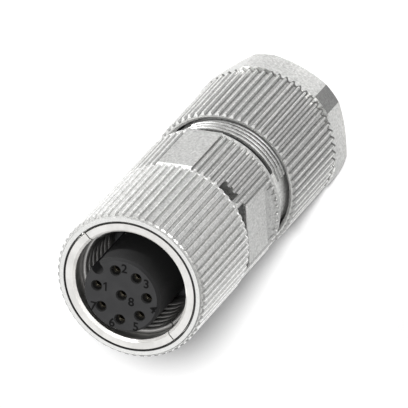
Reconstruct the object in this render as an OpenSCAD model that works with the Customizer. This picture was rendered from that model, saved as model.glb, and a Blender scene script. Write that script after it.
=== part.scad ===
// M12 circular connector: a field-wired cable socket with eight contacts, A-coded, in a shielded metal body.
// It stands on its cable end. The origin is on the axis at the rear face, and +Z runs to the mating face.
// Radii grow outwards in two chains: the mating thread sets the insert, shell, nut and grip, and the cable
// sets the seal, cage, neck and gland nut.

/* [Mating side] */
// Nominal diameter of the mating thread
mate_thread_d = 12; // [10:0.1:16]
// Room between that thread and the insert, for the mate's threaded collar
collar_room = 1.9; // [1.7:0.05:2.2]
// How far the insert stands proud of the coupling nut
insert_proud = 2.1; // [0.5:0.1:4]
// Chamfer round the insert's face
insert_chamfer = 0.25; // [0.1:0.05:0.4]
// How much wider the insert is at its root, where the sealing ring sits
insert_root_step = 0.2; // [0.16:0.02:0.3]
// Width of the A-coding keyway
key_w = 1.2; // [0.9:0.1:1.5]
// Depth of the keyway
key_depth = 1.15; // [0.8:0.05:1.4]
// How far the keyway stops in front of the insert's root
key_stop = 0.8; // [0.5:0.1:3]

/* [Contacts] */
// Wall between the insert's outside and the circle of the outer contacts
contact_inset = 1.35; // [1.2:0.05:1.5]
// Angle between contacts 1 and 2, either side of the keyway
key_gap = 64; // [60:1:70]
// Diameter of a contact's entry hole in the face
entry_d = 1.0; // [0.85:0.05:1.2]
// Countersink of the entry holes
entry_sink = 0.12; // [0.05:0.01:0.2]
// Outside diameter of a contact
contact_d = 1.3; // [1.1:0.05:1.6]
// Bore of a contact, for a pin of 0.76
contact_bore_d = 0.8; // [0.7:0.05:0.96]
// Thickness of the face over the contacts
face_wall = 0.9; // [0.6:0.1:1.5]
// How far the solder cups reach out behind the retainer
cup_reach = 2.8; // [2:0.1:3.5]

/* [Coupling nut] */
// Length of the coupling nut
nut_len = 12.3; // [10:0.1:15]
// Wall of the split thread ring
thread_ring_wall = 0.95; // [0.8:0.05:1.2]
// Wall of the knurled sleeve under its ribs
sleeve_wall = 0.73; // [0.6:0.01:0.9]
// Depth of the coupling nut's ribs
nut_rib_depth = 0.3; // [0.2:0.05:0.4]
// Length of the plain lip in front of the ribs
nut_lip_len = 0.3; // [0.2:0.1:1]
// Open gap round the thread ring at the front face
ring_face_gap = 0.15; // [0.05:0.01:0.2]
// Width of the slits between the two half rings
ring_slit = 0.12; // [0.05:0.01:0.3]
// Angle of the first slit round the axis
slit_angle = -2; // [-6:1:6]
// Angle that a keyway in the sleeve spans
keyway_span = 24; // [16:1:40]
// Depth of the keyways in the sleeve's bore
keyway_depth = 0.22; // [0.15:0.01:0.3]

/* [Insert shell] */
// Play between the coupling nut's thread and the shell's collar
collar_play = 0.25; // [0.15:0.05:0.4]
// Thickness of the collar
collar_len = 1.3; // [1:0.1:2]
// Depth of the groove behind the collar
groove_depth = 0.75; // [0.6:0.05:0.75]
// Thickness of the half rings' lip in that groove
lip_len = 0.9; // [0.6:0.05:1.2]
// Length of the shell's tail inside the housing
tail_len = 4.2; // [3.5:0.1:5.2]
// Wall of the tail
tail_wall = 0.9; // [0.7:0.05:1.2]
// Thickness of the retainer behind the insert
retainer_floor = 2.1; // [1.7:0.1:2.6]
// Step on which the retainer's flange seats
flange_step = 0.78; // [0.6:0.01:1]

/* [Housing] */
// Length of the housing's grip
body_len = 8.5; // [7:0.1:12]
// Wall of the grip outside the shell's tail
body_wall = 1.85; // [1.5:0.05:2.5]
// Depth of the housing's ribs
body_rib_depth = 0.32; // [0.2:0.02:0.4]
// Depth of the two spanner flats below the ribs' tips
spanner_depth = 0.87; // [0.6:0.01:1]
// Angle of the first spanner flat's normal
spanner_angle = 48; // [0:1:90]
// Radius of the curved run-out of the spanner flats
run_out_r = 3; // [1.2:0.1:4]
// Length of the relief in front of the spanner flats
relief_len = 1.8; // [1:0.1:2.4]
// Depth of that relief below the flats
relief_depth = 0.35; // [0.2:0.05:0.4]
// Width of the smooth rim at the grip's rear
rear_rim_len = 0.45; // [0.3:0.05:1.5]
// Depth of the two label flats below the ribs' tips
label_depth = 0.27; // [0.1:0.01:0.4]
// Angle of the first label flat's normal
label_angle = -42; // [-60:1:-30]
// Width of the notch in the housing's front edge
notch_w = 1.95; // [1:0.05:3]
// Length of the notch along the axis
notch_len = 1.4; // [0.8:0.1:2]
// Angle of the notch round the axis
notch_angle = -89; // [-100:1:-80]

/* [Neck] */
// Width of the way for the cable through the seal
cable_way_d = 8.2; // [6.8:0.1:10]
// Wall of the cable seal
seal_wall = 1.45; // [1.2:0.05:1.8]
// Length of the cable seal
seal_len = 7.0; // [5.8:0.1:8.4]
// Thickness of the shield ring
shield_len = 1.2; // [1:0.1:1.5]
// Wall of the neck between the seal's pocket and the thread's crest
neck_wall = 1.45; // [1.2:0.05:1.8]
// Length of neck seen between the housing and the gland nut
neck_show = 3.6; // [2:0.1:5]
// Step from the neck's thread up to the ribs of the grip
neck_step = 0.82; // [0.6:0.02:1.2]
// Depth of the neck's thread
neck_thread_depth = 0.3; // [0.2:0.05:0.35]
// Pitch of the neck's thread
neck_pitch = 0.6; // [0.5:0.05:1]
// Depth of the smooth lands beside the thread, below its crest
neck_land_drop = 0.25; // [0.05:0.05:0.25]
// Angle that each of the two threaded sides spans
neck_thread_span = 82; // [60:1:120]
// Angle of the middle of the first threaded side
neck_thread_angle = -67; // [-90:1:-40]
// Width of the thread's run-out groove behind the grip
run_out_groove = 1.7; // [0.3:0.1:1.8]
// Depth of that groove below the thread's root
groove_cut = 0.35; // [0.1:0.05:0.4]

/* [Gland nut] */
// Length of the gland nut
gland_len = 14.6; // [12:0.1:18]
// Wall of the gland nut under its ribs
gland_wall = 0.42; // [0.3:0.02:0.6]
// Depth of the gland nut's ribs
gland_rib_depth = 0.36; // [0.2:0.02:0.44]
// Length of the hexagon
hex_len = 3.7; // [3:0.1:6]
// Wall of the nut under the middle of the hexagon's flats
hex_wall = 0.35; // [0.3:0.05:0.6]
// How far the hexagon's rounded corners stand out past its flats
hex_corner_rise = 0.6; // [0.4:0.05:0.9]
// Angle of the hexagon's first corner
hex_angle = 23; // [0:1:60]
// Length of the cable entry's bore
entry_len = 1.6; // [1.3:0.1:2]
// Chamfer of the cable entry
entry_chamfer = 0.3; // [0.1:0.1:0.5]

/* [Clamping cage] */
// Number of fingers
cage_fingers = 8; // [6:1:12]
// Wall of the cage
cage_wall = 0.85; // [0.7:0.05:1.05]
// How far the cage's collar reaches into the neck
cage_reach = 1.5; // [1.4:0.1:2]

/* [Ribs] */
// Ribs round each knurled piece
rib_count = 60; // [48:1:72]
// Chamfer turned on the ends of the ribs
rib_chamfer = 0.2; // [0.1:0.05:0.3]

/* [Fits] */
// Play between pieces that seat in each other and don't move
fit = 0.02; // [0.01:0.01:0.04]
// Radial play of pieces that turn or slide in each other
running = 0.05; // [0.03:0.01:0.08]
// Gap between the coupling nut and the housing
split_gap = 0.1; // [0.05:0.05:0.2]

/* [Hidden] */
$fn = 96;
over = 1;     // how far a cut runs past the solid that it cuts
sink = 0.01;  // how far two parts of one solid run into each other

// Heights of the outside, from the rear face up
z_neck = gland_len;
z_body = z_neck + neck_show;
z_split = z_body + body_len;
z_nut = z_split + split_gap;
z_nut_face = z_nut + nut_len;
z_face = z_nut_face + insert_proud;

// Coupling nut
ring_bore_r = mate_thread_d / 2;
ring_r = ring_bore_r + thread_ring_wall;
sleeve_bore_r = ring_r + fit;
sleeve_base_r = sleeve_bore_r + sleeve_wall;
nut_rib_r = sleeve_base_r + nut_rib_depth;
ring_entry = 0.25;
face_gap_len = 1.2;
keyway_stop = 2.5;        // how far a keyway stops in front of the sleeve's rear
key_play = 0.04;
key_end_play = 0.5;
key_side_angle = 1;
z_keyway = z_nut + keyway_stop;

// Insert shell: collar, groove and tail
lip_play = 0.05;           // axial play of the half rings' lip in the groove
lip_clearance = 0.12;      // radial play of that lip
z_collar = z_nut + lip_len + 2 * lip_play;
z_collar_face = z_collar + collar_len;
collar_r = ring_bore_r - collar_play;
groove_r = collar_r - groove_depth;
lip_r = groove_r + lip_clearance;
insert_r = ring_bore_r - collar_room;
insert_root_r = insert_r + insert_root_step;
shell_bore_r = insert_root_r + fit;
tail_bore_r = shell_bore_r + flange_step;
tail_r = tail_bore_r + tail_wall;
z_tail = z_split - tail_len;

// Sealing rings
front_ring_sec = 1.2;
front_ring_play = 0.1;
rear_ring_sec = 0.8;
z_insert_root = z_collar_face + front_ring_sec + front_ring_play;
z_rear_seat = z_tail - rear_ring_sec - fit;

// Contact carrier, retainer and contacts
flange_r = tail_bore_r - fit;
flange_sunk = 0.2;         // how far the retainer's flange ends behind the shell's front wall
z_flange = z_split - flange_sunk;
z_insert_seat = z_tail + retainer_floor;
key_bottom_r = insert_r - key_depth;
z_key = z_insert_root + key_stop;
z_contact_tip = z_face - face_wall;
z_cup = z_tail - cup_reach;
contact_len = z_contact_tip - z_cup;
contact_r = contact_d / 2;
contact_hole_r = contact_r + fit;
contact_circle_r = insert_r - contact_inset;
contact_step = (360 - key_gap) / 6;
function contact_angle(i) = i == 1 ? key_gap / 2 : -key_gap / 2 - (i - 2) * contact_step;
function contact_x(i) = i == 8 ? 0 : contact_circle_r * cos(contact_angle(i));
function contact_y(i) = i == 8 ? 0 : contact_circle_r * sin(contact_angle(i));

// Seal, neck and gland nut
seal_bore_r = cable_way_d / 2;
seal_r = seal_bore_r + seal_wall;
pocket_r = seal_r + running;
tail_stop = 0.2;           // the shoulder that the shell's tail and its retainer stand on
ring_stop = 0.7;           // the shoulder that the shield ring stands on
chamber_r = min(tail_bore_r - tail_stop, pocket_r - ring_stop);
neck_crest_r = pocket_r + neck_wall;
neck_root_r = neck_crest_r - neck_thread_depth;
neck_land_r = neck_crest_r - neck_land_drop;
thread_play = 0.1;
gland_bore_r = neck_crest_r + thread_play;
gland_base_r = gland_bore_r + gland_wall;
gland_rib_r = gland_base_r + gland_rib_depth;
hex_apothem = gland_bore_r + hex_wall;
hex_corner_r = hex_apothem + hex_corner_rise;
hex_chamfer = 0.7;
entry_play = 0.4;          // how much wider the entry is than the way through the seal
cable_entry_r = seal_bore_r + entry_play;

// Heights inside the gland: the neck's end stays clear of the nut's floor when the nut is screwed home
cone_len = 1.6;
cone_play = 0.1;
seat_gap = 0.05;           // axial gap between pieces that lie on each other
home_gap = 0.35;           // what is left between neck and nut when the nut is home
z_cage = entry_len + cone_play;
z_gland_floor = z_cage + cone_len + seat_gap;
home_travel = neck_show - neck_pitch / 2;
z_neck_end = z_gland_floor + home_travel + home_gap;
z_cage_top = z_neck_end + cage_reach;
cage_r = seal_r;
cage_bore_r = cage_r - cage_wall;
cage_collar_len = 1.4;
z_seal = z_cage_top + seat_gap;
z_seal_top = z_seal + seal_len;
z_shield = z_seal_top + seat_gap;
z_pocket_top = z_shield + shield_len;

// Grip of the housing, outside both the tail and the neck
body_rib_r = max(tail_r + fit + body_wall, neck_crest_r + neck_step);
rim_drop = 0.06;           // how far the rear rim stays below the ribs' crests
edge_break = 0.12;         // chamfer on a spanner flat's front edge
grip_outside = body_rib_r + 2 * over;
spanner_r = body_rib_r - spanner_depth;
spanner_w = 2 * sqrt(body_rib_r * body_rib_r - spanner_r * spanner_r);
relief_r = spanner_r - relief_depth;
z_relief = z_split - relief_len;
label_r = body_rib_r - label_depth;
label_margin = 0.15;       // what is left of the ribs beside a label flat's plain pad
label_w = 2 * (sqrt(body_rib_r * body_rib_r - label_r * label_r) - label_margin);
notch_floor = 0.35;        // wall under the notch, outside the shell's tail
notch_r = tail_r + notch_floor;

// A ring between two radii, from height z0 up to z1
module tube(r_out, r_in, z0, z1) {
    translate([0, 0, z0])
        difference() {
            cylinder(r = r_out, h = z1 - z0);
            translate([0, 0, -over]) cylinder(r = r_in, h = z1 - z0 + 2 * over);
        }
}

// A cylinder on the axis, of radius r, from height z0 up to z1
module bore(r, z0, z1) {
    translate([0, 0, z0]) cylinder(r = r, h = z1 - z0);
}

// A rod from height z0 to z1 with a chamfer at its upper end
module rod(r, z0, z1, chamfer) {
    translate([0, 0, z0]) cylinder(r = r, h = z1 - z0 - chamfer);
    translate([0, 0, z1 - chamfer]) cylinder(r1 = r, r2 = r - chamfer, h = chamfer);
}

// A part of a ring, centred on an angle
module ring_sector(r_out, r_in, angle, span, z0, z1) {
    rotate([0, 0, angle - span / 2])
        rotate_extrude(angle = span)
            translate([r_in, z0]) square([r_out - r_in, z1 - z0]);
}

// The outline of a straight knurl: a valley, a flank, a crest and a flank for each rib
module knurl_outline(r, depth, crest_share, valley_share, phase) {
    pitch = 360 / rib_count;
    flank = (1 - crest_share - valley_share) / 2;
    turns = [-valley_share / 2, valley_share / 2, valley_share / 2 + flank, 1 - valley_share / 2 - flank];
    radii = [r - depth, r - depth, r, r];
    polygon([
        for (rib = [0 : rib_count - 1], k = [0 : 3])
            let (a = phase + pitch * (rib + turns[k])) [radii[k] * cos(a), radii[k] * sin(a)]
    ]);
}

// A blank turned to radius r, with its two ends chamfered
module turned_blank(r, z0, z1, chamfer) {
    rotate_extrude()
        polygon([[0, z0], [r - chamfer, z0], [r + sink, z0 + chamfer + sink],
            [r + sink, z1 - chamfer - sink], [r - chamfer, z1], [0, z1]]);
}

// An O-ring lying round the axis on height z
module o_ring(r_in, section, z) {
    translate([0, 0, z + section / 2])
        rotate_extrude() translate([r_in + section / 2, 0]) circle(d = section);
}

// Its children at the middle contact and the seven round it
module at_contacts() {
    for (i = [1 : 8])
        translate([contact_x(i), contact_y(i), 0]) children();
}

// ---- Coupling nut ----

module nut_sleeve() {
    rib_start = 0.1;
    lip_chamfer = 0.1;
    color("silver")
        difference() {
            union() {
                rod(sleeve_base_r, z_nut, z_nut_face, lip_chamfer);
                intersection() {
                    translate([0, 0, z_nut])
                        linear_extrude(nut_len)
                            knurl_outline(nut_rib_r, nut_rib_depth, crest_share = 0.42, valley_share = 0.26, phase = 2);
                    turned_blank(nut_rib_r, z_nut + rib_start, z_nut_face - nut_lip_len, rib_chamfer);
                }
            }
            bore(sleeve_bore_r, z_nut - over, z_nut_face + over);
            bore(ring_r + ring_face_gap, z_nut_face - face_gap_len, z_nut_face + over);
            for (side = [0, 180])
                ring_sector(ring_r + keyway_depth, ring_bore_r, side, keyway_span, z_keyway, z_nut_face + over);
        }
}

// One half of the split ring: thread wall, rear lip, and the keys by which the sleeve turns it
module thread_half(side) {
    lead = 0.25;
    color("gainsboro")
        intersection() {
            difference() {
                union() {
                    tube(ring_r, lip_r, z_nut, z_nut_face);
                    for (way = [0, 180])
                        ring_sector(ring_r + keyway_depth - key_play, ring_bore_r + thread_ring_wall / 2, way,
                            keyway_span - 2 * key_side_angle, z_keyway + key_end_play,
                            z_nut_face - face_gap_len - key_end_play);
                }
                bore(ring_bore_r, z_nut - over, z_nut + lip_play);
                bore(ring_bore_r, z_nut + lip_play + lip_len, z_nut_face + over);
                translate([0, 0, z_nut_face - ring_entry])
                    cylinder(r1 = ring_bore_r, r2 = ring_bore_r + ring_entry + lead, h = ring_entry + lead);
            }
            rotate([0, 0, slit_angle + side])
                translate([-2 * ring_r, ring_slit / 2, z_nut - over])
                    cube([4 * ring_r, 2 * ring_r, nut_len + 2 * over]);
        }
}

// ---- Contact insert ----

module insert_shell() {
    color("silver")
        difference() {
            union() {
                translate([0, 0, z_collar]) cylinder(r = collar_r, h = collar_len);
                translate([0, 0, z_split - sink]) cylinder(r = groove_r, h = z_collar_face - z_split);
                translate([0, 0, z_tail]) cylinder(r = tail_r, h = tail_len);
            }
            bore(shell_bore_r, z_tail - over, z_collar_face + over);
            bore(tail_bore_r, z_tail - over, z_flange + fit);
        }
}

module contact_carrier() {
    color("dimgray")
        difference() {
            union() {
                rod(insert_r, z_insert_root - over, z_face, insert_chamfer);
                bore(insert_root_r, z_insert_seat + fit, z_insert_root);
            }
            keyway();
            at_contacts() {
                bore(contact_hole_r, z_insert_seat - over, z_contact_tip + fit);
                bore(entry_d / 2, z_contact_tip - over, z_face + over);
                translate([0, 0, z_face - entry_sink])
                    cylinder(r1 = entry_d / 2, r2 = entry_d / 2 + entry_sink + over, h = entry_sink + over);
            }
        }
}

// The round-bottomed A-coding keyway, open at the face
module keyway() {
    translate([key_bottom_r + key_w / 2, 0, z_key]) {
        cylinder(d = key_w, h = z_face - z_key + over);
        translate([0, -key_w / 2, 0]) cube([insert_r, key_w, z_face - z_key + over]);
    }
}

// A cup that holds the insert's foot, with a flange trapped in the shell's tail
module contact_retainer() {
    color("black")
        difference() {
            bore(flange_r, z_tail, z_flange);
            bore(insert_root_r + fit, z_insert_seat, z_flange + over);
            at_contacts() bore(contact_hole_r, z_tail - over, z_insert_seat + over);
        }
}

// A turned socket contact: slit spring sleeve in front, solder cup behind
module contact(i) {
    bore_len = 8;
    cup_len = 3;
    cup_cut = 1.6;
    slit_len = 5;
    slit_w = 0.14;
    cup_r = contact_bore_d / 2 + 0.05;
    beside = contact_r + over;
    color("gold")
        translate([contact_x(i), contact_y(i), z_cup])
            difference() {
                cylinder(r = contact_r, h = contact_len);
                bore(contact_bore_d / 2, contact_len - bore_len, contact_len + over);
                bore(cup_r, -over, cup_len);
                translate([0, -beside, -over]) cube([beside, 2 * beside, cup_cut + over]);
                translate([-beside, -slit_w / 2, contact_len - slit_len])
                    cube([2 * beside, slit_w, slit_len + over]);
            }
}

module insert_o_ring() {
    color("black") o_ring(insert_root_r + fit, front_ring_sec, z_collar_face + fit);
}

// ---- Housing ----

module housing() {
    color("silver")
        difference() {
            union() {
                housing_grip();
                housing_neck();
            }
            // the seat of the shell's tail, the wire chamber, and the pocket of the shield ring and seal
            bore(tail_r + fit, z_rear_seat, z_split + over);
            bore(chamber_r, z_pocket_top - over, z_split);
            bore(pocket_r, z_neck_end - over, z_pocket_top);
        }
}

module housing_grip() {
    rim_chamfer = 0.12;
    difference() {
        union() {
            intersection() {
                translate([0, 0, z_body - over])
                    linear_extrude(body_len + 2 * over)
                        knurl_outline(body_rib_r, body_rib_depth, crest_share = 0.2, valley_share = 0.3, phase = 3.6);
                turned_blank(body_rib_r, z_body + rear_rim_len - rib_chamfer, z_split, rib_chamfer);
            }
            turned_blank(body_rib_r - rim_drop, z_body, z_body + rear_rim_len, rim_chamfer);
            // the label flats are plain up to their edges
            rotate([0, 0, label_angle])
                translate([-label_r, -label_w / 2, z_body]) cube([2 * label_r, label_w, body_len]);
        }
        for (side = [0, 180]) {
            rotate([0, 0, spanner_angle + side]) {
                side_cut(2 * body_rib_r, spanner_outline());
                side_cut(spanner_w, relief_outline());
            }
            rotate([0, 0, label_angle + side]) side_cut(2 * body_rib_r, label_outline());
        }
        rotate([0, 0, notch_angle])
            translate([notch_r, -notch_w / 2, z_split - notch_len])
                cube([body_rib_r, notch_w, notch_len + over]);
    }
}

// An outline of radius and height, extruded across the grip to a width
module side_cut(width, outline) {
    translate([0, width / 2, 0])
        rotate([90, 0, 0])
            linear_extrude(width) polygon(outline);
}

// What a spanner flat takes away: a flat that runs out in an arc in front of the rear rim
function spanner_outline() =
    let (
        steps = 10,
        z_arc_end = z_body + rear_rim_len,
        arc_angle = acos(max(0, 1 - spanner_depth / run_out_r)),
        z_flat_end = z_arc_end + run_out_r * sin(arc_angle),
        arc = [
            for (k = [0 : steps])
                let (a = arc_angle * k / steps)
                    [spanner_r + run_out_r * (1 - cos(a)), z_flat_end - run_out_r * sin(a)]
        ]
    )
    concat([[grip_outside, z_split + over], [spanner_r, z_split + over]], arc, [[grip_outside, z_arc_end]]);

// What the relief takes away in front of a spanner flat, with the flat's own front edge broken
function relief_outline() = [
    [grip_outside, z_split + over], [relief_r, z_split + over], [relief_r, z_relief],
    [spanner_r - edge_break, z_relief], [spanner_r + over, z_relief - edge_break - over],
    [grip_outside, z_relief - edge_break - over]
];

// What a label flat takes away, with its front edge broken
function label_outline() = [
    [label_r, z_body - over], [grip_outside, z_body - over], [grip_outside, z_split + over],
    [label_r - rib_chamfer - over, z_split + over], [label_r, z_split - rib_chamfer]
];

// The neck: smooth at the mould's parting, and cut to the thread's root on its two threaded sides
module housing_neck() {
    end_chamfer = 0.4;
    difference() {
        translate([0, 0, z_neck_end]) cylinder(r = neck_land_r, h = z_body + over - z_neck_end);
        for (side = [0, 180]) {
            angle = neck_thread_angle + side;
            ring_sector(neck_land_r + over, neck_root_r, angle, neck_thread_span, z_neck_end - over, z_body);
            ring_sector(neck_land_r + over, neck_root_r - groove_cut, angle, neck_thread_span,
                z_body - run_out_groove, z_body);
        }
        difference() {
            bore(neck_land_r + over, z_neck_end - over, z_neck_end + end_chamfer);
            translate([0, 0, z_neck_end - over])
                cylinder(r1 = neck_land_r - end_chamfer - over, r2 = neck_land_r, h = end_chamfer + over);
        }
    }
}

module housing_o_ring() {
    color("black") o_ring(tail_bore_r, rear_ring_sec, z_rear_seat + fit / 2);
}

// ---- Cable gland ----

// Metal ring on which the cable's braid is turned back
module shield_ring() {
    cone_h = 0.6;
    rim = 0.3;
    color("silver")
        difference() {
            tube(pocket_r - fit, seal_bore_r, z_shield, z_pocket_top - fit);
            translate([0, 0, z_shield - sink]) cylinder(r1 = seal_r - rim, r2 = seal_bore_r, h = cone_h);
        }
}

module cable_seal() {
    color("black") tube(seal_r, seal_bore_r, z_seal, z_seal_top);
}

// Slit plastic cage: its collar pushes the seal and its fingers close on the cable
module clamp_cage() {
    slot_w = 0.7;
    slot_stop = 0.6;
    color("whitesmoke")
        difference() {
            union() {
                translate([0, 0, z_cage]) cylinder(r1 = cage_r - cone_len / 2, r2 = cage_r, h = cone_len);
                bore(cage_r, z_cage + cone_len, z_cage_top);
            }
            bore(cage_bore_r, z_cage - over, z_cage_top - cage_collar_len);
            bore(seal_bore_r, z_cage - over, z_cage_top + over);
            for (i = [0 : cage_fingers - 1])
                rotate([0, 0, 360 / cage_fingers * i])
                    translate([0, -slot_w / 2, z_cage - over])
                        cube([cage_r + over, slot_w, z_cage_top - cage_collar_len - slot_stop - z_cage + over]);
        }
}

module gland_nut() {
    lead = 0.3;
    cone_r = cage_r + cone_play;
    color("silver")
        difference() {
            union() {
                gland_hexagon();
                gland_knurl();
            }
            bore(gland_bore_r, z_gland_floor, z_neck + over);
            translate([0, 0, z_neck - lead])
                cylinder(r1 = gland_bore_r, r2 = gland_bore_r + lead + over, h = lead + over);
            translate([0, 0, entry_len]) cylinder(r1 = cone_r - cone_len / 2, r2 = cone_r, h = cone_len);
            bore(cone_r, entry_len + cone_len - sink, z_gland_floor + over);
            bore(cable_entry_r, -over, entry_len + over);
            translate([0, 0, -over])
                cylinder(r1 = cable_entry_r + entry_chamfer + over, r2 = cable_entry_r, h = entry_chamfer + over);
        }
}

// Hexagon with rounded corners and a turned chamfer at the rear rim
module gland_hexagon() {
    intersection() {
        rotate([0, 0, hex_angle]) linear_extrude(hex_len) circle(r = hex_apothem / cos(30), $fn = 6);
        union() {
            cylinder(r1 = hex_corner_r - hex_chamfer, r2 = hex_corner_r, h = hex_chamfer);
            bore(hex_corner_r, hex_chamfer, hex_len + over);
        }
    }
}

// Ribs with their front ends turned to a chamfer, which leaves pointed tips
module gland_knurl() {
    tip_chamfer = 1.5 * rib_chamfer;
    intersection() {
        translate([0, 0, hex_len - sink])
            linear_extrude(gland_len - hex_len + over)
                knurl_outline(gland_rib_r, gland_rib_depth, crest_share = 0.16, valley_share = 0.3, phase = hex_angle);
        turned_blank(gland_rib_r, hex_len - over, z_neck, tip_chamfer);
    }
}

nut_sleeve();
thread_half(0);  // thread_half_a
thread_half(180);  // thread_half_b
insert_shell();
contact_carrier();
contact_retainer();
insert_o_ring();
for (i = [1 : 8])
    contact(i);
housing();
housing_o_ring();
shield_ring();
cable_seal();
clamp_cage();
gland_nut();
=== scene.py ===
"""The looks of an M12 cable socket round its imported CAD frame: finishes, threads, numbers and a studio."""

from __future__ import annotations

import logging
import math
from dataclasses import dataclass
from enum import Enum
from typing import Iterable

import bmesh
import bpy
from mathutils import Matrix, Vector

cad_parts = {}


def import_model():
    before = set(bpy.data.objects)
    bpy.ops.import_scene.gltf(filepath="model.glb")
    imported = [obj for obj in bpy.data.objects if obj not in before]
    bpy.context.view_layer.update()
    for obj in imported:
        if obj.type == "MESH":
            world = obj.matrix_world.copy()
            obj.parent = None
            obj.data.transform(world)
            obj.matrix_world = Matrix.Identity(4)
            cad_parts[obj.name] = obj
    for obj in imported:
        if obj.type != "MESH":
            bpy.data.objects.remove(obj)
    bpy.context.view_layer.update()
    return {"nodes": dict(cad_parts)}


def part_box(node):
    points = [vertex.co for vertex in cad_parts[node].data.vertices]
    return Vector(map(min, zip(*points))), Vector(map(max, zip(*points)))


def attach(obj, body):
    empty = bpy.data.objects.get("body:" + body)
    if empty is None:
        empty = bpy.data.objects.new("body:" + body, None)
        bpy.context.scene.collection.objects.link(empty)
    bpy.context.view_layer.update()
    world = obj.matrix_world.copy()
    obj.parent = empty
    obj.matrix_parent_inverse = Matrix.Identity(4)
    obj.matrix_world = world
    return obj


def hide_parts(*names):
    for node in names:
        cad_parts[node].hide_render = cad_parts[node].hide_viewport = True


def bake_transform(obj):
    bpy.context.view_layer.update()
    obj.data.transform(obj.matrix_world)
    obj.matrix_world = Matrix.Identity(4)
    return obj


LOG = logging.getLogger("connector")
MM = 0.001
PER_MM = 1000.0
FAR = 99.0  # in millimetres, past every surface of the connector
EDGE_FACING = (0.4, 0.92, 0.1)  # how squarely a rounded edge faces along the axis: from, to, softness

Colour = tuple[float, float, float]
Socket = bpy.types.NodeSocket


class Body(Enum):
    """The rigid bodies that added pieces ride on."""

    CONNECTOR = "connector"
    COUPLING_NUT = "coupling_nut"
    CLAMP = "clamp"


class ThreadSide(Enum):
    """Which way a screw thread's crest points."""

    INSIDE = -1
    OUTSIDE = 1


def add_to_scene(name: str, data: bpy.types.ID) -> bpy.types.Object:
    """Add an object to the scene, at the origin.

    Args:
        name: The object's name.
        data: Its mesh, curve, light or camera.

    Returns:
        The new object.
    """
    made = bpy.data.objects.new(name, data)
    bpy.context.scene.collection.objects.link(made)
    return made


def plain_mesh(thing: bpy.types.Object) -> bpy.types.Mesh:
    """Return an object's evaluated shape as a plain mesh.

    Args:
        thing: The object, with its modifiers or its curve.

    Returns:
        The new mesh.
    """
    depsgraph = bpy.context.evaluated_depsgraph_get()
    return bpy.data.meshes.new_from_object(thing.evaluated_get(depsgraph), depsgraph=depsgraph)


def level_direction(azimuth_deg: float) -> tuple[float, float, float]:
    """Return the unit vector across the axis at an azimuth."""
    return math.cos(math.radians(azimuth_deg)), math.sin(math.radians(azimuth_deg)), 0.0


# ------------------------------
# Node trees
# ------------------------------


class NodeBoard:
    """A node tree with short calls that add, set and link nodes."""

    def __init__(self, tree: bpy.types.NodeTree) -> None:
        """Take a tree to work on.

        Args:
            tree: The node tree.
        """
        self.tree = tree

    def node(self, kind: str, **settings: object) -> bpy.types.Node:
        """Add a node and set its properties.

        Args:
            kind: The node's type name.
            settings: Properties of the node.

        Returns:
            The new node.
        """
        made = self.tree.nodes.new(kind)
        for key, value in settings.items():
            setattr(made, key, value)
        return made

    def join(self, source: object, target: Socket) -> None:
        """Link a socket, or set a constant, on a target socket.

        Args:
            source: An output socket, or the value to set.
            target: The input socket.
        """
        if isinstance(source, Socket):
            self.tree.links.new(source, target)
        else:
            target.default_value = source

    def feed(self, node: bpy.types.Node, **inputs: object) -> bpy.types.Node:
        """Set or link a node's inputs.

        Args:
            node: The node.
            inputs: Values or sockets by input name, with spaces written as underscores.

        Returns:
            The same node.
        """
        for name, value in inputs.items():
            self.join(value, node.inputs[name.replace("_", " ")])
        return node

    def fed(self, kind: str, **inputs: object) -> bpy.types.Node:
        """Add a node and set or link its inputs."""
        return self.feed(self.node(kind), **inputs)

    def maths(self, operation: str, first: object, second: object = 0.0, third: object = 0.0) -> Socket:
        """Combine two or three values.

        Args:
            operation: The Math node's operation.
            first: The first value or socket.
            second: The second value or socket.
            third: The third value or socket, for the operations that take one.

        Returns:
            The result.
        """
        made = self.node("ShaderNodeMath", operation=operation)
        for number, value in enumerate((first, second, third)):
            self.join(value, made.inputs[number])
        return made.outputs[0]


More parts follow.
